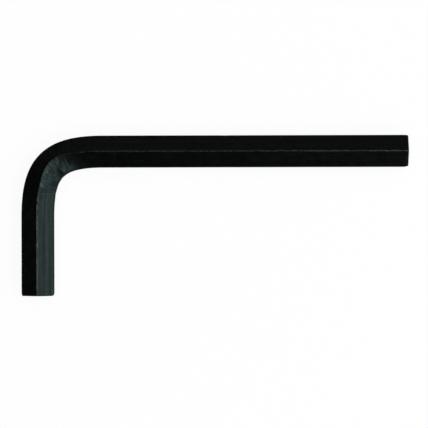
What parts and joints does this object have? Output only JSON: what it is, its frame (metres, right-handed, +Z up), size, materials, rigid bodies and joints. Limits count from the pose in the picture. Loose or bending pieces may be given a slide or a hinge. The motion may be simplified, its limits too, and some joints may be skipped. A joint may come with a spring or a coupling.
{
  "type": "hex key",
  "caption": "L-shaped hexagon key: one bent bar of black oxide steel, with a plain six-sided drive end on its long arm and on its short arm.",
  "frame": {"origin": "under the middle of the key's box, on the surface it lies on", "axes": "+X along the long arm to its end, -Y along the short arm to its end, +Z up from the surface the key lies on"},
  "size_m": [0.122, 0.0506, 0.0114],
  "materials": {
    "black_oxide_steel": "black oxide over drawn steel, oiled, satin"
  },
  "bodies": {
    "root": {"hex_key": "black_oxide_steel"}
  },
  "joints": []
}
